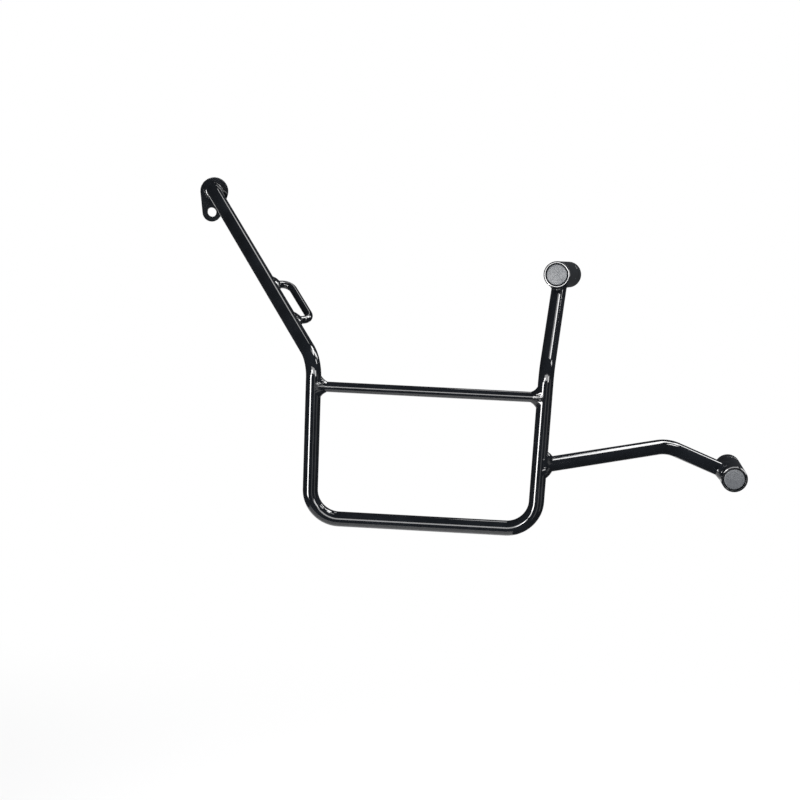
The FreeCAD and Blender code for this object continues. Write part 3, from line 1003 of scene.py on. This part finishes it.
def bolt_body(sizes, shank_end):
    """Head with a six-sided socket, and the plain shank."""
    flat = sizes.socket_across_flats / 2
    head = sizes.head_diameter / 2
    top = -sizes.head_height
    socket_floor = top + sizes.socket_depth
    shank = sizes.shank_diameter / 2
    bm = turn_profile([
        (0, socket_floor, 0),
        (flat, socket_floor, 0),
        (flat, top, 0),
        (head, top, sizes.head_edge_round),
        (head, 0, sizes.bolt_edge_round),
        (shank, 0, 0),
        (shank, shank_end, 0),
        (0, shank_end, 0),
    ], closed=False)
    sector = math.tau / SOCKET_SIDES
    for vert in bm.verts:
        if is_on_ring(vert, flat, top) or is_on_ring(vert, flat, socket_floor):
            angle = math.atan2(vert.co.y, vert.co.x) % sector - sector / 2
            vert.co.xy = vert.co.xy / math.cos(angle)
    return bm


def bolt_thread(bm, sizes, start):
    """Adds a helical thread beyond the shank, trimmed square and chamfered at its tip."""
    pitch = sizes.thread_pitch
    crest = sizes.thread_diameter / 2
    root = crest - sizes.thread_depth
    end = start + sizes.thread_length
    turns = math.ceil(sizes.thread_length / pitch) + SPARE_TURNS
    thread = bmesh.new()
    profile = [(root, 0), (crest, CREST_START), (crest, CREST_END), (root, 1)]
    verts = [thread.verts.new((radius, 0, start - pitch + share * pitch)) for radius, share in profile]
    for here, there in zip(verts, verts[1:]):
        thread.edges.new((here, there))
    bmesh.ops.spin(
        thread, geom=thread.verts[:] + thread.edges[:], cent=(0, 0, 0), axis=UP,
        dvec=(0, 0, pitch / THREAD_STEPS), angle=math.tau * turns, steps=THREAD_STEPS * turns,
        use_duplicate=False)
    bmesh.ops.remove_doubles(thread, verts=thread.verts[:], dist=THREAD_MERGE_DISTANCE)
    for depth, side in ((start, -1), (end, 1)):
        bmesh.ops.bisect_plane(
            thread, geom=thread.verts[:] + thread.edges[:] + thread.faces[:], dist=MERGE_DISTANCE,
            plane_co=(0, 0, depth), plane_no=(0, 0, side), clear_outer=True)
        rim = [edge for edge in thread.edges if edge.is_boundary]
        bmesh.ops.holes_fill(thread, edges=rim, sides=0)
    for vert in thread.verts:
        allowed = crest - max(0, vert.co.z - (end - sizes.tip_chamfer))
        across = math.hypot(vert.co.x, vert.co.y)
        if across > allowed:
            vert.co.xy = vert.co.xy * (allowed / across)
    bmesh.ops.recalc_face_normals(thread, faces=thread.faces[:])
    join_bmesh(bm, thread)


# Stage


def seen_rays(tree):
    """Value of 1 for camera, glossy and transmission rays."""
    path = tree.nodes.new("ShaderNodeLightPath")
    either = combine(tree, "MAXIMUM", path.outputs["Is Camera Ray"], path.outputs["Is Glossy Ray"])
    return combine(tree, "MAXIMUM", either, path.outputs["Is Transmission Ray"])


def paper_material(studio):
    """Pale paper that shows its shadows under the frame and runs out to plain white behind it."""
    material = bpy.data.materials.new("pale_paper")
    material.use_nodes = True
    tree = material.node_tree
    shader = tree.nodes["Principled BSDF"]
    shader.inputs["Base Color"].default_value = (*studio.floor_tint, 1)
    shader.inputs["Roughness"].default_value = PAPER_ROUGHNESS
    shader.inputs["Specular IOR Level"].default_value = PAPER_SHEEN
    glow = tree.nodes.new("ShaderNodeEmission")
    glow.inputs["Color"].default_value = (*studio.backdrop_tint, 1)
    places = tree.nodes.new("ShaderNodeTexCoord")
    parts = tree.nodes.new("ShaderNodeSeparateXYZ")
    tree.links.new(places.outputs["Object"], parts.inputs["Vector"])
    limits = {"From Min": studio.fade_start, "From Max": studio.fade_end}
    fade = add_range(tree, parts.outputs["Y"], limits, "SMOOTHSTEP")
    mix = tree.nodes.new("ShaderNodeMixShader")
    tree.links.new(combine(tree, "MULTIPLY", fade, seen_rays(tree)), mix.inputs["Fac"])
    tree.links.new(shader.outputs["BSDF"], mix.inputs[1])
    tree.links.new(glow.outputs["Emission"], mix.inputs[2])
    tree.links.new(mix.outputs["Shader"], tree.nodes["Material Output"].inputs["Surface"])
    return material


def floor_sheet(studio):
    """Flat sheet of paper under the frame and behind it, with a notch under the strut."""
    bm = bmesh.new()
    floor = tube_low.z - studio.floor_gap
    sides = (studio.floor_left, studio.floor_notch_side)
    front = bm.edges.new([bm.verts.new((side, studio.floor_front, floor)) for side in sides])
    under = extrude_ring(bm, [front], INBOARD * (studio.floor_notch_back - studio.floor_front))
    behind = extrude_ring(bm, under, INBOARD * (studio.floor_back - studio.floor_notch_back))
    corner = max(behind[0].verts, key=lambda vert: vert.co.x)
    side = [edge for edge in corner.link_edges if edge not in behind]
    extrude_ring(bm, side, Vector((studio.floor_right - studio.floor_notch_side, 0, 0)))
    bmesh.ops.recalc_face_normals(bm, faces=bm.faces[:])
    mesh_object(bm, "floor", paper_material(studio))


def studio_world(studio):
    """Surroundings: a white backdrop behind the frame, in a dim room that the camera sees as white."""
    world = bpy.data.worlds.new("studio")
    world.use_nodes = True
    tree = world.node_tree
    direction = tree.nodes.new("ShaderNodeTexCoord")
    parts = tree.nodes.new("ShaderNodeSeparateXYZ")
    tree.links.new(direction.outputs["Generated"], parts.inputs["Vector"])
    ahead = tree.nodes.new("ShaderNodeMath")
    ahead.operation = "GREATER_THAN"
    ahead.inputs[1].default_value = 0
    tree.links.new(parts.outputs["Y"], ahead.inputs[0])
    inside = ahead.outputs["Value"]
    for axis, edge, outward in (
            ("X", studio.backdrop_left, -1), ("X", studio.backdrop_right, 1), ("Z", studio.backdrop_top, 1)):
        lean = combine(tree, "DIVIDE", parts.outputs[axis], parts.outputs["Y"])
        limits = {"From Min": edge + outward * studio.backdrop_soft, "From Max": edge}
        inside = combine(tree, "MULTIPLY", inside, add_range(tree, lean, limits, "SMOOTHSTEP"))
    path = tree.nodes.new("ShaderNodeLightPath")
    white = combine(tree, "MAXIMUM", inside, path.outputs["Is Camera Ray"])
    colour = mix_colours(tree, white, studio.room_tint, studio.backdrop_tint)
    tree.links.new(colour, tree.nodes["Background"].inputs["Color"])
    bpy.context.scene.world = world


def softbox(name, middle, spot, width, height, glow, aim=(0, 0, 0), faces_down=False):
    """Rectangular lamp at a spot from the middle, with an even glow over its face."""
    lamp = bpy.data.lights.new(name, "AREA")
    lamp.shape = "RECTANGLE"
    lamp.size = width
    lamp.size_y = height
    lamp.energy = glow * math.pi * width * height
    holder = bpy.data.objects.new(name, lamp)
    holder.location = middle + Vector(spot)
    target = middle + Vector((spot[0], spot[1], 0) if faces_down else aim)
    holder.rotation_euler = (target - holder.location).to_track_quat("-Z", "Y").to_euler()
    holder.visible_camera = False
    bpy.context.scene.collection.objects.link(holder)


class PANNIER_OT_studio(Operator):
    """Set up the pale floor, the soft lamps, the surroundings and the camera"""
    bl_idname = "pannier.studio"
    bl_label = "Studio"

    def execute(self, context):
        studio = context.scene.pannier_studio
        floor_sheet(studio)
        studio_world(studio)
        middle = (cad_low + cad_high) / 2
        for name, lamp in LAMPS.items():
            softbox(name, middle, **lamp)
        camera = bpy.data.cameras.new("camera")
        camera.lens = studio.camera_lens
        holder = bpy.data.objects.new("camera", camera)
        holder.location = studio.camera_place
        holder.rotation_euler = studio.camera_turn
        context.scene.collection.objects.link(holder)
        context.scene.camera = holder
        context.scene.view_settings.view_transform = "Standard"
        return {"FINISHED"}


class VIEW3D_PT_pannier(Panel):
    """Sidebar panel with the frame's pieces and their sizes"""
    bl_label = "Pannier frame"
    bl_space_type = "VIEW_3D"
    bl_region_type = "UI"
    bl_category = "Pannier"

    def draw(self, context):
        for operator in operators:
            self.layout.operator(operator.bl_idname)
        for group_name in property_groups:
            group = getattr(context.scene, group_name)
            box = self.layout.box()
            for name in group.__annotations__:
                box.prop(group, name)


property_groups = {
    "pannier_sizes": PannierSizes,
    "pannier_finish": PannierFinish,
    "pannier_studio": PannierStudio,
}
operators = [
    PANNIER_OT_loop_tube,
    PANNIER_OT_cross_bar,
    PANNIER_OT_front_strut,
    PANNIER_OT_lashing_hook,
    PANNIER_OT_rear_tab,
    PANNIER_OT_weld_beads,
    PANNIER_OT_mounting_bosses,
    PANNIER_OT_boss_caps,
    PANNIER_OT_bolts,
    PANNIER_OT_studio,
]


def register():
    for name, group in property_groups.items():
        bpy.utils.register_class(group)
        setattr(bpy.types.Scene, name, PointerProperty(type=group))
    for operator in operators:
        bpy.utils.register_class(operator)
    bpy.utils.register_class(VIEW3D_PT_pannier)


def unregister():
    bpy.utils.unregister_class(VIEW3D_PT_pannier)
    for operator in reversed(operators):
        bpy.utils.unregister_class(operator)
    for name, group in property_groups.items():
        delattr(bpy.types.Scene, name)
        bpy.utils.unregister_class(group)


def main():
    register()
    bpy.ops.pannier.loop_tube()
    bpy.ops.pannier.cross_bar()
    bpy.ops.pannier.front_strut()
    bpy.ops.pannier.lashing_hook()
    bpy.ops.pannier.rear_tab()
    bpy.ops.pannier.weld_beads()
    bpy.ops.pannier.mounting_bosses()
    bpy.ops.pannier.boss_caps()
    bpy.ops.pannier.bolts()
    bpy.ops.pannier.studio()


if __name__ == "__main__":
    main()
